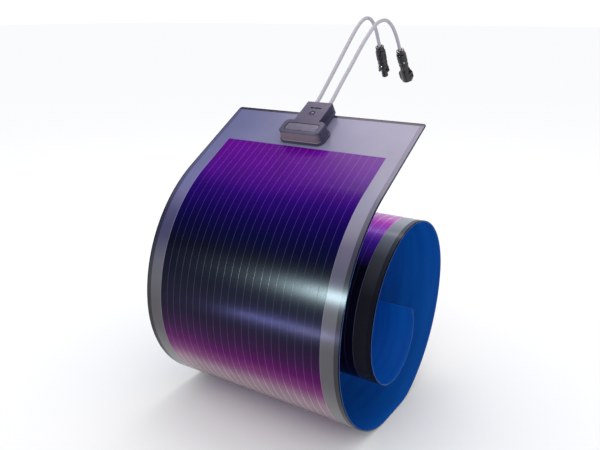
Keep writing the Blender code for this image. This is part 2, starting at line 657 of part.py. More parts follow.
def build_nut(name, holder):
    """Gland nut with a fluted grip, screwed on the back of a shell."""
    entry = JACKET_BORE + 0.0003
    profile = [(entry, 0.0040), (0.0050, 0.0040), (0.0050, 0.0), (0.0068, 0.0), (0.0075, 0.0010),
               (0.0075, 0.0078), (0.0069, 0.0083), (0.0069, 0.0102), (0.0084, 0.0108), (GRIP, 0.0130),
               (GRIP, 0.0340), (0.0084, 0.0352), (0.0084, NUT_LENGTH), (BARREL_THREAD, NUT_LENGTH),
               (BARREL_THREAD, 0.0130), (entry, 0.0070)]
    nut = make_object(name, turned_mesh(name, profile), "connector", holder, True)
    shape = bmesh.new()
    groove = [(0.0, 0.0145), (FLUTE_RADIUS, 0.0163), (FLUTE_RADIUS, 0.0312), (0.0, 0.0330)]
    for k in range(NUT_FLUTES):
        angle = 2.0 * math.pi * (k + 0.5) / NUT_FLUTES
        spot = Matrix.Rotation(angle, 4, "Z") @ Matrix.Translation((GRIP + 0.0003, 0.0, 0.0))
        add_turned(shape, groove, spot, sides=6)
    boolean(nut, mesh_from_bmesh("flutes", shape), "DIFFERENCE", holder)


def build_plug(holder):
    """Shell with a narrow nose and two latch arms, its tube contact and its sealing ring."""
    nose = [(0.0080, 0.0480), (0.0086, 0.0492), (0.0086, 0.0560), (0.0062, 0.0572), (0.0056, 0.0600),
            (0.0047, 0.0600), (0.0047, 0.0626), (0.0056, 0.0626), (0.0056, PLUG_LENGTH - 0.0008),
            (0.0050, PLUG_LENGTH)]
    profile = shell_back() + nose + cavity_profile(PLUG_LENGTH, NOSE_BORE)
    shell = make_object("plug_shell", turned_mesh("plug_shell", profile), "connector", holder, True)
    arms = []
    for side in (-1, 1):
        arms.append((rectangle(0.0009, -LATCH_Y, LATCH_Y, side * LATCH_X), 0.0535, 0.0665))
    boolean(shell, prism_mesh("arms", *arms), "UNION", holder)
    barbs = []
    for side in (-1, 1):
        foot = rectangle(0.0013, -LATCH_Y, LATCH_Y, side * (LATCH_X + 0.0008))
        tip = rectangle(0.0008, -LATCH_Y, LATCH_Y, side * LATCH_X)
        barbs.append((foot, 0.0630, 0.0672, tip))
    boolean(shell, prism_mesh("barbs", *barbs), "UNION", holder)

    contact = [(0.0, CONTACT_START), (CONTACT_RADIUS, CONTACT_START), (CONTACT_RADIUS, 0.0740),
               (0.0016, 0.0740), (0.0016, 0.0600), (0.0, 0.0600)]
    make_object("plug_contact", turned_mesh("plug_contact", contact), "brass", holder, True)
    ring = [(0.0050, 0.0603), (0.0058, 0.0603), (0.0061, 0.0613), (0.0058, 0.0623), (0.0050, 0.0623)]
    make_object("plug_sealing_ring", turned_mesh("plug_sealing_ring", ring), "rubber", holder, True)


def build_socket(holder):
    """Shell with a wide shroud that the plug's nose and latch arms enter, and its pin."""
    shroud = [(0.0080, THROAT_END), (0.0096, 0.0600), (0.0096, SOCKET_LENGTH - 0.0008),
              (0.0088, SOCKET_LENGTH)]
    profile = shell_back() + shroud + cavity_profile(SOCKET_LENGTH, SOCKET_MOUTH)
    shell = make_object("socket_shell", turned_mesh("socket_shell", profile), "connector", holder, True)
    wing = rounded_rectangle(0.0130, -0.0052, 0.0052, 0.0030, steps=3)
    wing_tip = rounded_rectangle(0.0105, -0.0048, 0.0048, 0.0028, steps=3)
    wing_root = rounded_rectangle(0.0096, -0.0048, 0.0048, 0.0028, steps=3)
    wing_root_start = 0.0605
    boolean(shell, prism_mesh("wing_root", (wing_root, wing_root_start, WING_START, wing)), "UNION", holder)
    boolean(shell, prism_mesh("wing", (wing, WING_START - 0.0002, WING_END)), "UNION", holder)
    tip = (wing, WING_END - 0.0002, SOCKET_LENGTH - 0.0006, wing_tip)
    boolean(shell, prism_mesh("wing_tip", tip), "UNION", holder)
    opened = SOCKET_LENGTH + OVERRUN
    bore = [(0.0, THROAT_END), (SOCKET_MOUTH, THROAT_END), (SOCKET_MOUTH, opened), (0.0, opened)]
    boolean(shell, turned_mesh("mouth", bore), "DIFFERENCE", holder)
    pocket = rectangle(0.0110, -LATCH_Y - GAP, LATCH_Y + GAP)
    pocket_start = wing_root_start + 0.0035
    boolean(shell, prism_mesh("latch_pocket", (pocket, pocket_start, opened)), "DIFFERENCE", holder)
    window = rectangle(0.0140, -LATCH_Y - GAP, LATCH_Y + GAP)
    boolean(shell, prism_mesh("latch_windows", (window, *LATCH_WINDOW)), "DIFFERENCE", holder)
    core = [(0.0030, THROAT_END - 0.0005), (0.0040, THROAT_END - 0.0005), (0.0040, 0.0575), (0.0030, 0.0575)]
    boolean(shell, turned_mesh("pin_guard", core), "UNION", holder)
    flats = [(rectangle(0.0048, side * FLAT_DEPTH - 0.0010, side * FLAT_DEPTH + 0.0010), *FLAT_RANGE)
             for side in (-1, 1)]
    boolean(shell, prism_mesh("finger_flats", *flats), "DIFFERENCE", holder)

    pin = [(0.0, CONTACT_START), (CONTACT_RADIUS, CONTACT_START), (CONTACT_RADIUS, 0.0540), (0.0015, 0.0560),
           (0.0015, 0.0790), (0.0008, 0.0808), (0.0, 0.0812)]
    make_object("socket_pin", turned_mesh("socket_pin", pin), "brass", holder, True)


def build_wire_inserts(kind, holder):
    """The clamping collet and the wire seal of one connector."""
    outer = CAVITY - GAP
    collet = [(JACKET_BORE, 0.0100), (0.0047, 0.0100), (outer, 0.0128), (outer, SEAL_START - GAP),
              (JACKET_BORE, SEAL_START - GAP)]
    name = f"{kind}_collet"
    make_object(name, turned_mesh(name, collet), "collet", holder, True)
    seal = [(JACKET_BORE, SEAL_START), (outer, SEAL_START), (outer, SEAL_END), (JACKET_BORE, SEAL_END)]
    name = f"{kind}_wire_seal"
    make_object(name, turned_mesh(name, seal), "rubber", holder, True)


def connector_holder(name, place, frame):
    """An empty at the back of a connector, with Z along the lead."""
    holder = bpy.data.objects.new(name, None)
    bpy.context.scene.collection.objects.link(holder)
    holder.parent = frame
    holder.matrix_basis = place @ Matrix.Diagonal((CONNECTOR_GIRTH, CONNECTOR_GIRTH, 1.0, 1.0))
    return holder


# ---------------------------------------------------------------- the whole object
def build_tail_frame(origin):
    """An empty at the sheet's free end: Y outwards along the sheet, Z out of the cell face."""
    frame = bpy.data.objects.new("tail_frame", None)
    bpy.context.scene.collection.objects.link(frame)
    frame.location = (BOX_X, -origin.x, -origin.y)
    frame.rotation_euler = (TAIL_SLOPE, 0.0, 0.0)
    return frame


def main():
    clear_scene()
    strips = roll_stations()
    origin = roll_origin(strips)
    build_sheet(strips, origin)

    frame = build_tail_frame(origin)
    slots = [(outline, FRONT_FILM[1] - 0.001, 0.001) for outline in ribbon_slots(RIBBON_CLEARANCE)]
    boolean(bpy.data.objects["front_film_00"], prism_mesh("film_slots", *slots), "DIFFERENCE", frame)
    build_box_base(frame)
    build_pad(frame)
    build_lid(frame)
    build_terminals(frame)
    build_ribbons(frame)
    build_neck_fittings(frame)

    connectors = (("plug", "lead_a", LEAD_A_ROUTE, -1, build_plug),
                  ("socket", "lead_b", LEAD_B_ROUTE, 1, build_socket))
    for kind, lead, route, side, build_shell in connectors:
        place = build_lead(lead, route, side, frame)
        holder = connector_holder(f"{kind}_holder", place, frame)
        build_nut(f"{kind}_nut", holder)
        build_wire_inserts(kind, holder)
        build_shell(holder)


main()
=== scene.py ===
import json
import math

import bmesh
import bpy
from mathutils import Matrix, Vector


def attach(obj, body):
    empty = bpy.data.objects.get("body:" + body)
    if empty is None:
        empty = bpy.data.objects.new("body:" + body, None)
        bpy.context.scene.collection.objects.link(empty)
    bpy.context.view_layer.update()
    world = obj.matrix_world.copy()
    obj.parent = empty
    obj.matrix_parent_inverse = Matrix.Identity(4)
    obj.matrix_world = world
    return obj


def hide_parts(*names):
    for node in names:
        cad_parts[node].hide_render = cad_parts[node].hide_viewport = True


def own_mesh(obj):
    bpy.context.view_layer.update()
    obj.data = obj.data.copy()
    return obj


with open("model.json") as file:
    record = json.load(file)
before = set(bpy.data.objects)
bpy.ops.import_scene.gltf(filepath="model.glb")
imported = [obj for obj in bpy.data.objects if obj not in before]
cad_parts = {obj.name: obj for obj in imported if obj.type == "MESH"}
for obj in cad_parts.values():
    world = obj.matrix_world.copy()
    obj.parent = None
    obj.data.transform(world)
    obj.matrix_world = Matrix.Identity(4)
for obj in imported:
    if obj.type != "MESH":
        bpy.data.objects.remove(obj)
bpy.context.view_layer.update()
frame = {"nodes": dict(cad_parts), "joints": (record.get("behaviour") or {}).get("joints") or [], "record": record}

# ---------------------------------------------------------------- driving dimensions, in metres
SHEET_HALF_WIDTH = 0.218
TAIL_LENGTH = 0.197
TAIL_SLOPE = math.radians(30)
STRIP_TURN = math.radians(60)
END_TURN = math.radians(30)
STRIP_RADII = (0.292, 0.227, None, 0.248, 0.154, 0.155, 0.194, 0.126, 0.088, 0.086)
END_RADIUS = 0.086
BASE_STRIP = 3
BASE_RADII = (0.174, 0.118)
BASE_FLAT = 0.062
STRIP_COUNT = len(STRIP_RADII) + 2
ROWS_PER_STRIP = 60              # rows of faces along a strip that turns by STRIP_TURN
LEAST_ROWS = 12                  # fewest rows of faces along any stretch

CELL_HALF_WIDTH = 0.1805
CELL_START = 0.1045
CELL_STRIPES = 22
CELL_PITCH = 2 * CELL_HALF_WIDTH / CELL_STRIPES
CELL_GAP = 0.0001                # how far the film border and the cells stand back from their shared edge
GROOVE_HALF_WIDTH = 0.00035      # of the hairline groove at each conductor line
GROOVE_DEPTH = 0.00003
RIM_START = 0.2074               # the sealed rim begins here, measured from the middle
END_RIM = 0.0075                 # width of the rim along the sheet's free end
OUTLINE = 0.0020                 # width of the dark outline along the sides
END_OUTLINE = 0.0030             # and along the free end
CORNER_RADIUS = 0.0060
CORNER_ROWS = 8                  # rows of faces round a corner
LAMINATE_BEVEL = 0.00025
SHARP_ANGLE = math.radians(3)    # above this, an edge of the laminate is drawn sharp
FILM_LEVELS = (0.0, -0.0011)     # measured outwards from the cell face
CELL_LEVELS = (-0.00005, -0.0011)
LINER_LEVELS = (-0.0012, -0.0020)

BOX_X = -0.009
BOX_TOP = 0.026
HEAD_FRONT = -0.095
# Painted light on the head's wall, a lighter and pinker band, sets in, gets brighter and goes out between these
# heights.
BAND_BOTTOM = (0.0038, 0.0048)
BAND_BRIGHTENS = (0.004, 0.020)
BAND_TOP = (BOX_TOP - 0.0020, BOX_TOP - 0.0026)
BAND_BACK = (HEAD_FRONT + 0.0075, HEAD_FRONT + 0.0005)   # it fades in between these, towards the front
LIP_HIGHLIGHT_HEIGHT = 0.0058              # middle of the painted highlight where the lip along the band's foot catches light
LIP_HIGHLIGHT_FADES = (0.0006, 0.0010)     # the painted highlight fades out between these distances from its middle
LEAD_DIAMETER = 0.0080
LEAD_HEIGHT = 0.0165
LEAD_SPACING = 0.032
LEAD_START = -0.022              # the jacket's end inside the neck, outwards from the sheet's free end
LEAD_HIDDEN = 0.0320             # length inside the connector, past the route's last point
# The leads' routes over the sheet's free end: (outwards, above the cell face).
LEAD_A_ROUTE = ((0.0065, 0.0165), (0.026, 0.0175), (0.061, 0.0240), (0.112, 0.0345),
                (0.1665, 0.0462), (0.2225, 0.0572), (0.2512, 0.0592), (0.2772, 0.0540),
                (0.2952, 0.0400), (0.3047, 0.0200), (0.3082, -0.0070), (0.3072, -0.0360))
LEAD_B_ROUTE = ((0.0065, 0.0165), (0.026, 0.0175), (0.073, 0.0265), (0.130, 0.0360),
                (0.190, 0.0466), (0.246, 0.0510), (0.2743, 0.0470), (0.302, 0.0345),
                (0.3205, 0.0155), (0.3315, -0.0068), (0.3385, -0.0350), (0.3415, -0.0665))
ROUTE_STEP = 0.015
ROUTE_FINENESS = 20              # points worked out between two of a route's own points

CAMERA_AIM = Vector((-0.0020, 0.0, 0.3609))
CAMERA_DISTANCE = 1.3244
CAMERA_AZIMUTH = math.radians(32.875)
CAMERA_ELEVATION = math.radians(17.946)
CAMERA_LENS = 39.39
SENSOR_WIDTH = 36.0
FLOOR_SIZE = 80.0
FLOOR_LEVEL = -0.0005            # just under the roll, which stands at height 0

JOINTS = {joint["name"]: joint for joint in frame["joints"]}


def tail_end():
    """The middle of the sheet's free end, on the cell face."""
    fold = Vector(JOINTS["unroll_00_01"]["pos_m"])
    outwards = Vector((0.0, math.cos(TAIL_SLOPE), math.sin(TAIL_SLOPE)))
    return fold + outwards * TAIL_LENGTH


TAIL = tail_end()
BOX_FRAME = Matrix.Translation((BOX_X, TAIL.y, TAIL.z)) @ Matrix.Rotation(TAIL_SLOPE, 4, "X")


# ---------------------------------------------------------------- material nodes
class Look:
    """A node material on one Principled shader, with short calls for the nodes it needs."""

    def __init__(self, name, roughness=0.5, metallic=0.0, **constants):
        self.material = bpy.data.materials.new(name)
        self.material.use_nodes = True
        self.tree = self.material.node_tree
        self.shader = self.tree.nodes["Principled BSDF"]
        self.set("Roughness", roughness)
        self.set("Metallic", metallic)
        for socket, value in constants.items():
            self.set(socket.replace("_", " "), value)
        self.coordinates = self.tree.nodes.new("ShaderNodeTexCoord").outputs["Object"]

    def set(self, socket, value):
        """Give a shader socket a constant, or link it."""
        if isinstance(value, bpy.types.NodeSocket):
            self.tree.links.new(value, self.shader.inputs[socket])
        else:
            self.shader.inputs[socket].default_value = value

    def node(self, kind, inputs, **settings):
        item = self.tree.nodes.new(kind)
        for key, value in settings.items():
            setattr(item, key, value)
        for socket, value in inputs.items():
            if isinstance(value, bpy.types.NodeSocket):
                self.tree.links.new(value, item.inputs[socket])
            else:
                item.inputs[socket].default_value = value
        return item

    def maths(self, operation, *values):
        return self.node("ShaderNodeMath", dict(enumerate(values)), operation=operation).outputs[0]

    def mix(self, factor, first, second):
        inputs = {"Factor": factor, 6: rgba(first), 7: rgba(second)}
        return self.node("ShaderNodeMix", inputs, data_type="RGBA").outputs[2]

    def noise(self, scale, detail=3.0, roughness=0.55, vector=None):
        inputs = {"Vector": vector or self.coordinates, "Scale": scale, "Detail": detail,
                  "Roughness": roughness}
        return self.node("ShaderNodeTexNoise", inputs).outputs["Fac"]

    def remap(self, value, low, high, new_low=0.0, new_high=1.0, smooth=False):
        kind = "SMOOTHSTEP" if smooth else "LINEAR"
        inputs = {0: value, 1: low, 2: high, 3: new_low, 4: new_high}
        return self.node("ShaderNodeMapRange", inputs, interpolation_type=kind).outputs[0]

    def ramp(self, along, tints):
        """Colours along the sheet, blended between the distances that they are given for."""
        item = self.node("ShaderNodeValToRGB", {"Fac": self.maths("DIVIDE", along, RAMP_LENGTH)})
        elements = item.color_ramp.elements
        while len(elements) < len(tints):
            elements.new(0.5)
        for element, (distance, colour) in zip(elements, tints):
            element.position = distance / RAMP_LENGTH
            element.color = (*colour, 1.0)
        return item.outputs["Color"]

    def scale(self, colour, factor):
        return self.node("ShaderNodeVectorMath", {0: colour, "Scale": factor}, operation="SCALE").outputs[0]

    def bump(self, height, distance, strength=1.0):
        inputs = {"Height": height, "Distance": distance, "Strength": strength}
        self.set("Normal", self.node("ShaderNodeBump", inputs).outputs["Normal"])

    def sheet_place(self):
        """Distance across from the sheet's middle, and along it from the free end, in metres."""
        place = self.node("ShaderNodeUVMap", {}, uv_map="Sheet").outputs["UV"]
        parts = self.node("ShaderNodeSeparateXYZ", {"Vector": place}).outputs
        return parts[0], parts[1]


def rgba(colour):
    return colour if isinstance(colour, bpy.types.NodeSocket) else (*colour, 1.0)


RAMP_LENGTH = 2.2                # the tints' ramps span this length of the sheet
BLUR = 0.0002                    # half the width over which one painted region runs into the next
# Tints of the clear margin along the sheet, which hold painted reflections and painted shade: distance from the
# free end, colour.
FILM_TINTS_AND_PAINTED_LIGHT = ((0.00, (0.290, 0.283, 0.370)), (0.20, (0.290, 0.280, 0.370)), (0.24, (0.300, 0.290, 0.390)),
              (0.28, (0.270, 0.250, 0.330)), (0.32, (0.140, 0.126, 0.195)), (0.37, (0.100, 0.097, 0.145)),
              (0.42, (0.140, 0.140, 0.165)), (0.47, (0.120, 0.118, 0.132)), (0.50, (0.100, 0.098, 0.108)),
              (0.56, (0.105, 0.103, 0.112)), (0.60, (0.150, 0.148, 0.155)), (0.65, (0.220, 0.220, 0.225)),
              (1.20, (0.220, 0.215, 0.225)), (1.40, (0.600, 0.580, 0.600)), (1.48, (0.500, 0.520, 0.540)),
              (1.54, (0.200, 0.220, 0.240)), (1.58, (0.080, 0.080, 0.086)), (1.66, (0.020, 0.020, 0.024)),
              (2.10, (0.025, 0.026, 0.034)))
RIM_DARKENS = (0.16, 0.32)       # the rim gets darker between these distances from the free end
LEFT_SHADE_FADES = (0.34, 0.44)        # a painted shade, darker and bluer on the left side, fades out between these
LEFT_SHADE_REACH = 0.20                # and runs from one side of the sheet to the other
WINDOW_LINE = 0.0005             # the pale line beside the cell field: its place and its half width


def film_look():
    """Clear barrier film over a lavender-grey back sheet, with its sealed darker rim, and with painted reflections
    and painted shade in its tints.
    """
    look = Look("barrier_film", roughness=0.22)
    look.set("Specular IOR Level", 0.06)
    across, along = look.sheet_place()
    side = look.maths("ABSOLUTE", across)
    rim = look.remap(side, RIM_START - BLUR, RIM_START + BLUR)
    end_rim = look.remap(along, END_RIM + BLUR, END_RIM - BLUR, 0.0, 0.80)
    rim = look.maths("MULTIPLY", rim, look.remap(along, *RIM_DARKENS, 0.34, 0.66))
    rim = look.maths("MAXIMUM", rim, end_rim)
    clouds = look.noise(9.0, 4.0)
    # the tints along the sheet are painted reflections and painted shade: pale where light is mirrored, dark in
    # the inner turns
    tint = look.ramp(look.maths("ADD", along, look.maths("MULTIPLY", clouds, 0.02)), FILM_TINTS_AND_PAINTED_LIGHT)
    # painted shade: the left side of the margin darker and bluer than the right, near the free end
    painted_left_shade = look.maths("MULTIPLY", look.remap(across, -LEFT_SHADE_REACH, LEFT_SHADE_REACH, 1.0, 0.0),
                      look.remap(along, *LEFT_SHADE_FADES, 1.0, 0.0))
    tint = look.mix(painted_left_shade, tint, look.node("ShaderNodeVectorMath", {0: tint, 1: (0.50, 0.53, 0.80)},
                                          operation="MULTIPLY").outputs[0])
    clear = look.scale(tint, look.remap(clouds, 0.3, 0.7, 0.92, 1.06))
    colour = look.mix(rim, clear, (0.012, 0.012, 0.018))
    from_window = look.maths("SUBTRACT", side, CELL_HALF_WIDTH + WINDOW_LINE)
    near_cells = look.remap(look.maths("ABSOLUTE", from_window), BLUR, WINDOW_LINE, 1.0, 0.0)
    line = look.maths("MULTIPLY", near_cells, look.maths("GREATER_THAN", along, CELL_START))
    colour = look.mix(look.maths("MULTIPLY", line, 0.25), colour, (0.55, 0.54, 0.65))
    edge_start = SHEET_HALF_WIDTH - OUTLINE
    edge = look.remap(side, edge_start - 2 * BLUR, edge_start + 2 * BLUR)
    edge = look.maths("MAXIMUM", edge, look.remap(along, END_OUTLINE + 2 * BLUR, END_OUTLINE - 2 * BLUR))
    look.set("Base Color", look.mix(edge, colour, (0.004, 0.004, 0.008)))
    look.set("Roughness", look.remap(look.noise(900.0, 2.0), 0.2, 0.8, 0.18, 0.25))
    look.bump(look.noise(14.0, 2.0), 0.0010, 0.10)
    return look.material


# Tints of the printed cells along the sheet, which hold painted reflections and painted shade: distance from the
# free end, colour.
CELL_TINTS_AND_PAINTED_LIGHT = ((0.105, (0.104, 0.000, 0.225)), (0.16, (0.086, 0.001, 0.222)), (0.20, (0.058, 0.001, 0.195)),
              (0.24, (0.018, 0.000, 0.136)), (0.28, (0.005, 0.000, 0.072)), (0.32, (0.001, 0.001, 0.035)),
              (0.36, (0.001, 0.001, 0.012)), (0.44, (0.006, 0.006, 0.020)), (0.49, (0.009, 0.005, 0.022)),
              (0.53, (0.032, 0.004, 0.048)), (0.56, (0.085, 0.001, 0.092)), (0.59, (0.165, 0.035, 0.145)),
              (0.62, (0.280, 0.180, 0.245)), (0.66, (0.300, 0.240, 0.260)), (0.74, (0.160, 0.030, 0.160)),
              (0.84, (0.050, 0.004, 0.100)), (1.15, (0.030, 0.003, 0.090)), (1.28, (0.120, 0.012, 0.170)),
              (1.38, (0.600, 0.420, 0.560)), (1.455, (0.750, 0.350, 0.700)), (1.487, (0.600, 0.080, 0.540)),
              (1.515, (0.320, 0.060, 0.600)), (1.545, (0.070, 0.016, 0.300)), (1.60, (0.003, 0.003, 0.008)),
              (2.10, (0.008, 0.002, 0.024)))
LINE_FADES = (0.00018, 0.00036)  # a conductor line fades out between these distances from its middle
SCRIBE_PLACE = 0.0013            # a fainter scribed line runs at this distance on either side of it
SCRIBE_FADES = (0.00006, 0.00014)
WEAVE = 3600.0                   # radians of the film's fine weave per metre


def cells_look():
    """Printed organic cells: dark violet stripes with fine pale conductor lines between them, tinted along the
    sheet with painted reflections and painted shade.
    """
    look = Look("printed_cells", roughness=0.24)
    look.set("Specular IOR Level", 0.06)
    across, along = look.sheet_place()
    wobble = look.maths("MULTIPLY", look.maths("SUBTRACT", look.noise(3.0, 2.0), 0.5), 0.03)
    # the tints hold painted reflections (the pale pink bands) and painted shade (the dark inner turns)
    tint = look.ramp(look.maths("ADD", along, wobble), CELL_TINTS_AND_PAINTED_LIGHT)
    from_side = look.maths("ADD", across, CELL_HALF_WIDTH)
    phase = look.maths("FRACT", look.maths("DIVIDE", from_side, CELL_PITCH))
    nearest = look.maths("MINIMUM", phase, look.maths("SUBTRACT", 1.0, phase))
    to_line = look.maths("MULTIPLY", nearest, CELL_PITCH)
    line = look.remap(to_line, *LINE_FADES, 1.0, 0.0)
    to_scribe = look.maths("ABSOLUTE", look.maths("SUBTRACT", to_line, SCRIBE_PLACE))
    scribe = look.remap(to_scribe, *SCRIBE_FADES, 1.0, 0.0)
    hatch = look.maths("SINE", look.maths("MULTIPLY", look.maths("ADD", across, along), WEAVE))
    cross = look.maths("SINE", look.maths("MULTIPLY", look.maths("SUBTRACT", across, along), WEAVE))
    weave = look.remap(look.maths("MULTIPLY", hatch, cross), -1.0, 1.0, 0.84, 1.12)
    tone = look.maths("MULTIPLY", look.remap(look.noise(24.0, 3.0), 0.3, 0.7, 0.92, 1.08), weave)
    colour = look.scale(tint, tone)
    lit = look.node("ShaderNodeVectorMath", {0: colour, 1: (3.2, 3.2, 2.6), 2: (0.040, 0.045, 0.070)},
                    operation="MULTIPLY_ADD").outputs[0]
    line = look.maths("MAXIMUM", line, look.maths("MULTIPLY", scribe, 0.06))
    look.set("Base Color", look.mix(line, colour, lit))
    look.set("Roughness", look.remap(look.noise(600.0, 2.0), 0.2, 0.8, 0.20, 0.27))
    look.bump(look.noise(10.0, 2.0), 0.0010, 0.10)
    return look.material


def liner_look():
    """Blue release liner over the adhesive: smooth film with faint rolling streaks."""
    look = Look("release_liner", roughness=0.38, Coat_Weight=0.15, Coat_Roughness=0.25)
    across, along = look.sheet_place()
    streak_place = look.node("ShaderNodeCombineXYZ", {0: look.maths("MULTIPLY", across, 60.0),
                                                      1: look.maths("MULTIPLY", along, 3.0)}).outputs[0]
    streaks = look.noise(1.0, 3.0, vector=streak_place)
    streaks = look.remap(streaks, 0.3, 0.7)
    look.set("Base Color", look.mix(streaks, (0.000, 0.080, 0.400), (0.001, 0.120, 0.520)))
    look.set("Roughness", look.remap(look.noise(700.0, 2.0), 0.2, 0.8, 0.32, 0.44))
    look.bump(look.noise(35.0, 3.0), 0.0006, 0.15)
    return look.material


def moulded_look(name, colour, roughness, coat=0.0, grain=1400.0, depth=0.00006, specular=0.5):
    """Moulded plastic or rubber with a fine spark-eroded grain and slight scuffing."""
    look = Look(name, roughness=roughness, Coat_Weight=coat, Coat_Roughness=0.12)
    look.set("Specular IOR Level", specular)
    clouds = look.noise(55.0, 4.0)
    lighter = tuple(channel * 1.25 + 0.004 for channel in colour)
    look.set("Base Color", look.mix(look.remap(clouds, 0.35, 0.75), colour, lighter))
    look.set("Roughness", look.remap(look.noise(180.0, 3.0), 0.3, 0.7, roughness * 0.85, roughness * 1.2))
    look.bump(look.noise(grain, 2.0), depth, 0.5)
    return look.material


def box_look():
    """Satin plastic of the junction box, with painted light on the head's wall: a lighter, pinker band, brighter
    upwards, and a painted highlight along its foot.
    """
    look = Look("box_plastic", roughness=0.30)
    look.set("Specular IOR Level", 0.08)
    place = []
    for direction in ((0.0, 1.0, 0.0), (0.0, 0.0, 1.0)):
        axis = BOX_FRAME.to_3x3() @ Vector(direction)
        reach = look.node("ShaderNodeVectorMath", {0: look.coordinates, 1: tuple(axis)},
                          operation="DOT_PRODUCT")
        place.append(look.maths("SUBTRACT", reach.outputs["Value"], axis.dot(BOX_FRAME.translation)))
    out, up = place
    front = look.remap(out, *BAND_BACK)
    # painted light: the front of the head's wall lighter and pinker, brighter towards the top
    wall = look.maths("MULTIPLY", front, look.remap(up, *BAND_TOP))
    wall = look.maths("MULTIPLY", wall, look.remap(up, *BAND_BOTTOM))
    wall = look.maths("MULTIPLY", wall, look.remap(up, *BAND_BRIGHTENS, 0.75, 1.0))
    clouds = look.remap(look.noise(55.0, 4.0), 0.35, 0.75)
    plain = look.mix(clouds, (0.056, 0.053, 0.098), (0.070, 0.067, 0.114))
    wall_light_colour = look.mix(clouds, (0.215, 0.165, 0.195), (0.260, 0.200, 0.230))
    # painted highlight: a pale line along the foot of the band, where the lip catches light
    to_lip_highlight = look.maths("ABSOLUTE", look.maths("SUBTRACT", up, LIP_HIGHLIGHT_HEIGHT))
    lip_highlight = look.maths("MULTIPLY", look.remap(to_lip_highlight, *LIP_HIGHLIGHT_FADES, 1.0, 0.0), front)
    colour = look.mix(wall, plain, wall_light_colour)
    look.set("Base Color", look.mix(lip_highlight, colour, (0.330, 0.290, 0.310)))
    look.set("Roughness", look.remap(look.noise(180.0, 3.0), 0.3, 0.7, 0.26, 0.36))
    look.bump(look.noise(1400.0, 2.0), 0.00005, 0.5)
    return look.material


def lead_look():
    """Cross-linked cable jacket: pale lavender grey with a soft sheen and faint drawing marks."""
    look = Look("cable_jacket", roughness=0.42)
    look.set("Specular IOR Level", 0.15)
    marks = look.remap(look.noise(260.0, 3.0), 0.3, 0.7)
    look.set("Base Color", look.mix(marks, (0.400, 0.388, 0.440), (0.480, 0.466, 0.515)))
    look.set("Roughness", look.remap(look.noise(500.0, 2.0), 0.3, 0.7, 0.36, 0.50))
    look.bump(look.noise(900.0, 2.0), 0.00005, 0.6)
    return look.material


def metal_look(name, colour, roughness):
    """Plated contact metal with drawn streaks and slight tarnish."""
    look = Look(name, roughness=roughness, metallic=1.0)
    tarnish = tuple(channel * 0.72 for channel in colour)
    look.set("Base Color", look.mix(look.remap(look.noise(160.0, 4.0), 0.45, 0.75), colour, tarnish))
    look.set("Roughness", look.remap(look.noise(420.0, 3.0), 0.3, 0.7, roughness * 0.7, roughness * 1.4))
    look.bump(look.noise(1500.0, 2.0), 0.00003, 0.5)
    return look.material


LOOKS = {
    "film": film_look(),
    "cells": cells_look(),
    "liner": liner_look(),
    "box": box_look(),
    "lid": moulded_look("lid_plastic", (0.085, 0.082, 0.125), 0.24, specular=0.12),
    "tape": moulded_look("foam_tape", (0.020, 0.020, 0.022), 0.85, grain=2500.0, depth=0.0002),
    "rubber": moulded_look("seal_rubber", (0.022, 0.022, 0.024), 0.65),
    "lead": lead_look(),
    "connector": moulded_look("connector_plastic", (0.006, 0.006, 0.009), 0.24, coat=0.2),
    "collet": moulded_look("collet_plastic", (0.050, 0.050, 0.058), 0.40),
    "brass": metal_look("contact_brass", (0.78, 0.60, 0.32), 0.28),
    "copper": metal_look("tinned_copper", (0.80, 0.74, 0.66), 0.30),
    "diode": moulded_look("diode_epoxy", (0.018, 0.018, 0.020), 0.40),
}


# ---------------------------------------------------------------- mesh helpers
def link(name, data, slot_name, body, *replaced):
    """Make a piece with its slot's material, riding on a body in place of CAD nodes."""
    item = bpy.data.objects.new(name, data)
    bpy.context.scene.collection.objects.link(item)
    data.materials.append(LOOKS[slot_name])
    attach(item, body)
    if replaced:
        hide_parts(*replaced)
    return item


def smooth_route(points, step):
    """Points at even steps along a Catmull-Rom curve through the route's own points."""
    points = [Vector(p) for p in points]
    padded = [2 * points[0] - points[1]] + points + [2 * points[-1] - points[-2]]
    fine = []
    for a, b, c, d in zip(padded, padded[1:], padded[2:], padded[3:]):
        for k in range(ROUTE_FINENESS):
            t = k / ROUTE_FINENESS
            fine.append(0.5 * (2 * b + (c - a) * t + (2 * a - 5 * b + 4 * c - d) * t ** 2
                               + (3 * b - a - 3 * c + d) * t ** 3))
    fine.append(points[-1])
    total = sum((q - p).length for p, q in zip(fine, fine[1:]))
    count = round(total / step)
    spots, travelled, target = [fine[0]], 0.0, total / count
    for p, q in zip(fine, fine[1:]):
        length = (q - p).length
        while travelled + length >= target * len(spots) - 1e-9 and len(spots) < count:
            spots.append(p.lerp(q, (target * len(spots) - travelled) / length))
        travelled += length
    spots.append(fine[-1])
    return spots, total


# ---------------------------------------------------------------- camera
def add_camera():
    """A camera at the photograph's angle, set back from the point that it aims at."""
    data = bpy.data.cameras.new("camera")
    data.lens = CAMERA_LENS
    data.sensor_width = SENSOR_WIDTH
    camera = bpy.data.objects.new("camera", data)
    bpy.context.scene.collection.objects.link(camera)
    level = math.cos(CAMERA_ELEVATION)
    back = Vector((math.sin(CAMERA_AZIMUTH) * level, -math.cos(CAMERA_AZIMUTH) * level,
                   math.sin(CAMERA_ELEVATION)))
    camera.location = CAMERA_AIM + back * CAMERA_DISTANCE
    camera.rotation_euler = (math.pi / 2 - CAMERA_ELEVATION, 0.0, CAMERA_AZIMUTH)
    bpy.context.scene.camera = camera


add_camera()


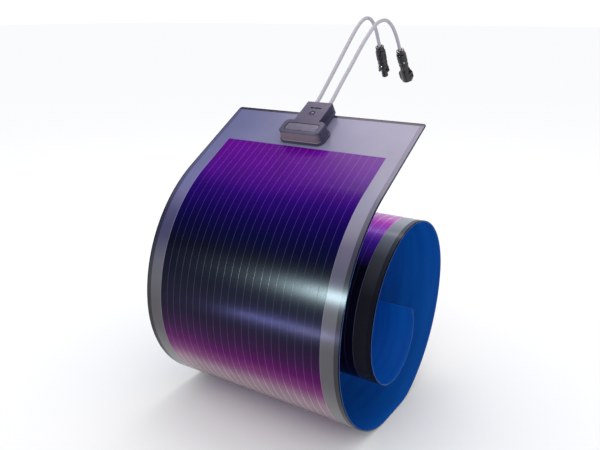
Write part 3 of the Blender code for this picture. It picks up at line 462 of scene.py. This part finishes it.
# ---------------------------------------------------------------- leads
def add_lead(name, node, route, side):
    """One lead along its route, from inside the junction box into its connector."""
    x = side * LEAD_SPACING / 2
    free = [Vector((x, out, up)) for out, up in route]
    inside = Vector((x, LEAD_START, LEAD_HEIGHT))
    along = (free[-1] - free[-2]).normalized()
    points = [inside, inside.lerp(free[0], 0.5)] + free + [free[-1] + along * LEAD_HIDDEN]
    spots, length = smooth_route(points, ROUTE_STEP)
    fine, _ = smooth_route(spots, ROUTE_STEP / 3)
    curve = bpy.data.curves.new(name, "CURVE")
    curve.dimensions = "3D"
    curve.bevel_depth = LEAD_DIAMETER / 2
    curve.bevel_resolution = 8
    curve.use_fill_caps = True
    spline = curve.splines.new("POLY")
    spline.points.add(len(fine) - 1)
    for spot, point in zip(spline.points, fine):
        spot.co = (*(BOX_FRAME @ point), 1.0)
    spline.use_smooth = True
    piece = link(name, curve, "lead", "strip_00", node)


NODES = frame["nodes"]
add_lead("lead_a_jacket", "lead_a", LEAD_A_ROUTE, -1)
add_lead("lead_b_jacket", "lead_b", LEAD_B_ROUTE, 1)


# ---------------------------------------------------------------- the sheet
def strip_segments(index):
    """(length, turn) of each stretch of one strip, from the free end inwards."""
    if index == 0:
        return [(TAIL_LENGTH, 0.0)]
    if index > len(STRIP_RADII):
        return [(END_RADIUS * END_TURN, END_TURN)]
    if index == BASE_STRIP:
        before, after = [(radius * STRIP_TURN / 2, STRIP_TURN / 2) for radius in BASE_RADII]
        return [before, (BASE_FLAT, 0.0), after]
    return [(STRIP_RADII[index - 1] * STRIP_TURN, STRIP_TURN)]


def advance(point, heading, length, turn):
    """The end of an arc or a straight stretch in the Y-Z plane."""
    if abs(turn) < 1e-9:
        return point + Vector((math.cos(heading), math.sin(heading))) * length, heading
    end = heading + turn
    step = Vector((math.sin(end) - math.sin(heading), math.cos(heading) - math.cos(end)))
    return point + step * (length / turn), end


def roll_rows():
    """For each strip, its rows on the cell face: (point, heading, distance from the free end)."""
    point, heading, travelled = Vector((TAIL.y, TAIL.z)), math.pi + TAIL_SLOPE, 0.0
    strips = []
    for index in range(STRIP_COUNT):
        rows = [(point, heading, travelled)]
        for length, turn in strip_segments(index):
            steps = max(round(ROWS_PER_STRIP * turn / STRIP_TURN), LEAST_ROWS)
            start = (point, heading)
            for k in range(1, steps + 1):
                point, heading = advance(*start, length * k / steps, turn * k / steps)
                rows.append((point, heading, travelled + length * k / steps))
            travelled += length
        strips.append(rows)
    return strips


def bar_profile(x0, x1, levels):
    """Closed cross-section of a band of the laminate, with softened corners."""
    top, bottom = levels
    bevel = LAMINATE_BEVEL
    return [(x0 + bevel, top), (x1 - bevel, top), (x1, top - bevel), (x1, bottom + bevel),
            (x1 - bevel, bottom), (x0 + bevel, bottom), (x0, bottom + bevel), (x0, top - bevel)]


def cells_profile():
    """Cross-section of the cell film, with a hairline groove at each conductor line."""
    top, bottom = CELL_LEVELS
    half = CELL_HALF_WIDTH - CELL_GAP
    profile = [(-half, top)]
    for k in range(1, CELL_STRIPES):
        x = -CELL_HALF_WIDTH + k * CELL_PITCH
        profile += [(x - GROOVE_HALF_WIDTH, top), (x, top - GROOVE_DEPTH), (x + GROOVE_HALF_WIDTH, top)]
    return profile + [(half, top), (half, bottom), (-half, bottom)]


def sweep(name, rows, profile_at):
    """A closed solid with a cross-section swept along rows of the sheet."""
    shape = bmesh.new()
    place = shape.loops.layers.uv.new("Sheet")
    spots, rings = {}, []
    for point, heading, distance in rows:
        outward = Vector((math.sin(heading), -math.cos(heading)))
        ring = []
        for x, level in profile_at(distance):
            spot = point + outward * level
            vert = shape.verts.new((x, spot.x, spot.y))
            spots[vert] = (x, distance)
            ring.append(vert)
        rings.append(ring)
    shape.faces.new(rings[0])
    shape.faces.new(list(reversed(rings[-1])))
    count = len(rings[0])
    for first, second in zip(rings, rings[1:]):
        for k in range(count):
            n = (k + 1) % count
            shape.faces.new((first[k], second[k], second[n], first[n]))
    bmesh.ops.recalc_face_normals(shape, faces=shape.faces)
    for face in shape.faces:
        for loop in face.loops:
            loop[place].uv = spots[loop.vert]
    mesh = bpy.data.meshes.new(name)
    shape.to_mesh(mesh)
    shape.free()
    mesh.shade_smooth()
    mesh.set_sharp_from_angle(angle=SHARP_ANGLE)
    return mesh


def join_meshes(name, meshes):
    """One mesh out of several, which keep their places on the sheet."""
    shape = bmesh.new()
    for mesh in meshes:
        shape.from_mesh(mesh)
        bpy.data.meshes.remove(mesh)
    joined = bpy.data.meshes.new(name)
    shape.to_mesh(joined)
    shape.free()
    joined.set_sharp_from_angle(angle=SHARP_ANGLE)
    return joined


def end_rows(rows, first, last, corner_at, steps=10):
    """Rows of a flat or evenly curved stretch between two distances, dense round a corner."""
    wanted = [first + (last - first) * k / steps for k in range(steps + 1)]
    for k in range(CORNER_ROWS + 1):
        swing = CORNER_RADIUS * (1 - math.cos(math.radians(90 * k / CORNER_ROWS)))
        wanted.append(corner_at + swing if corner_at <= first else corner_at - swing)
    picked = []
    for distance in sorted(set(round(w, 6) for w in wanted)):
        for (p, h, s), (q, g, t) in zip(rows, rows[1:]):
            if s - 1e-9 <= distance <= t + 1e-9:
                share = min(max((distance - s) / (t - s), 0.0), 1.0)
                point, heading = advance(p, h, (t - s) * share, (g - h) * share)
                picked.append((point, heading, distance))
                break
    return picked


def plate_profile_at(end, levels, inset=0.0):
    """Cross-section over the whole width, drawn in round the corners at one end of the sheet."""
    def profile(distance):
        from_end = abs(distance - end) - inset
        half = SHEET_HALF_WIDTH - inset
        if from_end < CORNER_RADIUS:
            reach = CORNER_RADIUS - max(from_end, 0.0)
            half -= CORNER_RADIUS - math.sqrt(max(CORNER_RADIUS ** 2 - reach ** 2, 0.0))
        return bar_profile(-half, half, levels)
    return profile


def flatten_with_roll(piece):
    """Give a strip's piece its own copy of its mesh."""
    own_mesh(piece)


def add_strip(index, rows, length):
    """Film border, cell film and liner of one strip of the laminate."""
    label = f"{index:02d}"
    body = f"strip_{label}"
    inner = CELL_HALF_WIDTH + CELL_GAP
    plate_end = CELL_START - CELL_GAP
    first, last = index == 0, index == STRIP_COUNT - 1
    sides = [bar_profile(-SHEET_HALF_WIDTH, -inner, FILM_LEVELS),
             bar_profile(inner, SHEET_HALF_WIDTH, FILM_LEVELS)]
    if first:
        plate_rows = end_rows(rows, 0.0, plate_end, 0.0)
        cell_rows = end_rows(rows, CELL_START, TAIL_LENGTH, CELL_START)
        meshes = [sweep("plate", plate_rows, plate_profile_at(0.0, FILM_LEVELS))]
        side_rows = end_rows(rows, plate_end, TAIL_LENGTH, plate_end)
        meshes += [sweep("side", side_rows, lambda _, profile=profile: profile) for profile in sides]
        liner = sweep("liner", end_rows(rows, 0.0, TAIL_LENGTH, 0.0), plate_profile_at(0.0, LINER_LEVELS))
    elif last:
        plate_rows = end_rows(rows, rows[0][2], length, length)
        meshes = [sweep("plate", plate_rows, plate_profile_at(length, FILM_LEVELS))]
        liner = sweep("liner", plate_rows, plate_profile_at(length, LINER_LEVELS))
    else:
        cell_rows = rows
        meshes = [sweep("side", rows, lambda _, profile=profile: profile) for profile in sides]
        whole_width = bar_profile(-SHEET_HALF_WIDTH, SHEET_HALF_WIDTH, LINER_LEVELS)
        liner = sweep("liner", rows, lambda _: whole_width)
    border = link(f"film_border_{label}", join_meshes("border", meshes), "film", body,
                  f"front_film_{label}")
    backing = link(f"release_liner_{label}", liner, "liner", body, f"liner_{label}")
    pieces = [(border, FILM_LEVELS), (backing, LINER_LEVELS)]
    if not last:
        cells = sweep("cells", cell_rows, lambda _: cells_profile())
        stripes = link(f"cell_stripes_{label}", cells, "cells", body, f"cell_film_{label}")
        pieces.append((stripes, CELL_LEVELS))
    if not first:
        for piece, levels in pieces:
            flatten_with_roll(piece)


ROLL = roll_rows()
for strip_index, strip_rows in enumerate(ROLL):
    add_strip(strip_index, strip_rows, ROLL[-1][-1][2])


# ---------------------------------------------------------------- CAD nodes that stay
WELD_DISTANCE = 0.00001
FLAT_ANGLE = math.radians(1)     # neighbouring faces within this angle become one flat face
EDGE_ANGLE = math.radians(32)    # above this, an edge is softened
SOFT_EDGE = 0.0002
SOFT_EDGES = {"box_base": 0.0005, "box_lid": 0.0004, "lead_clamp": 0.0003, "vent_plug": 0.0003,
              "plug_shell": 0.0003, "plug_nut": 0.0003, "socket_shell": 0.0003, "socket_nut": 0.0003}


def dress_nodes():
    """Give each CAD node that shows its slot's material, smooth round faces and soft edges."""
    slots = {part["node"]: part["material_slot"] for part in frame["record"]["subparts"]}
    for name, item in NODES.items():
        if item.hide_render:
            continue
        item.data.materials.clear()
        item.data.materials.append(LOOKS[slots[name]])
        weld = item.modifiers.new("weld", "WELD")
        weld.merge_threshold = WELD_DISTANCE
        planar = item.modifiers.new("flat faces", "DECIMATE")
        planar.decimate_type = "DISSOLVE"
        planar.angle_limit = FLAT_ANGLE
        bevel = item.modifiers.new("soft edges", "BEVEL")
        bevel.width = SOFT_EDGES.get(name, SOFT_EDGE)
        bevel.segments = 2
        bevel.limit_method = "ANGLE"
        bevel.angle_limit = EDGE_ANGLE
        item.data.shade_smooth()
        normals = item.modifiers.new("flat shading", "WEIGHTED_NORMAL")
        normals.weight = 100


dress_nodes()


# ---------------------------------------------------------------- stage
def add_floor():
    """A pale, matt floor without gloss."""
    shape = bmesh.new()
    bmesh.ops.create_grid(shape, x_segments=2, y_segments=2, size=FLOOR_SIZE / 2)
    mesh = bpy.data.meshes.new("floor")
    shape.to_mesh(mesh)
    shape.free()
    floor = bpy.data.objects.new("floor", mesh)
    bpy.context.scene.collection.objects.link(floor)
    floor.location.z = FLOOR_LEVEL
    look = Look("floor", roughness=0.9)
    look.set("Specular IOR Level", 0.0)
    look.set("Base Color", (0.93, 0.93, 0.93, 1.0))
    mesh.materials.append(look.material)


def add_softbox(name, location, aim, size, power, colour=(1.0, 1.0, 1.0), gloss_only=False):
    """A rectangular area light at one point that faces another; it may show in gloss alone."""
    data = bpy.data.lights.new(name, "AREA")
    data.shape = "RECTANGLE"
    data.size, data.size_y = size
    data.energy = power
    data.color = colour
    lamp = bpy.data.objects.new(name, data)
    bpy.context.scene.collection.objects.link(lamp)
    lamp.location = location
    lamp.rotation_euler = (Vector(location) - Vector(aim)).to_track_quat("Z", "Y").to_euler()
    lamp.visible_camera = False
    lamp.visible_diffuse = not gloss_only


def add_world(strength, mirrored, colour):
    """Even studio light, dimmer where a glossy surface mirrors it than where it lights or shows."""
    world = bpy.data.worlds.new("studio")
    world.use_nodes = True
    nodes, links = world.node_tree.nodes, world.node_tree.links
    background = nodes["Background"]
    background.inputs["Color"].default_value = (*colour, 1.0)
    level = nodes.new("ShaderNodeMapRange")
    level.inputs["To Min"].default_value = strength
    level.inputs["To Max"].default_value = mirrored
    links.new(nodes.new("ShaderNodeLightPath").outputs["Is Glossy Ray"], level.inputs["Value"])
    links.new(level.outputs["Result"], background.inputs["Strength"])
    bpy.context.scene.world = world


add_floor()
add_softbox("front_left", (-0.72, -2.05, 0.85), (0.10, -0.20, 0.33), (0.36, 0.25), 105.0,
            colour=(0.70, 0.93, 1.0), gloss_only=True)
add_softbox("low_strip", (-0.42, -1.10, 0.02), (0.10, -0.20, 0.22), (0.35, 0.02), 8.0,
            colour=(0.34, 0.36, 1.0), gloss_only=True)
add_softbox("low_glint", (-0.31, -1.10, 0.02), (0.20, -0.20, 0.22), (0.04, 0.012), 0.8,
            gloss_only=True)
add_softbox("high_right", (-0.50, 0.60, 2.25), (0.12, 0.20, 0.60), (0.60, 1.50), 26.0,
            colour=(1.0, 0.82, 0.95), gloss_only=True)
add_softbox("overhead", (-0.35, 0.75, 2.70), (0.0, 0.0, 0.40), (1.3, 1.3), 10.0)
add_world(1.05, 0.12, (0.98, 0.985, 1.0))
bpy.context.scene.view_settings.view_transform = "Standard"
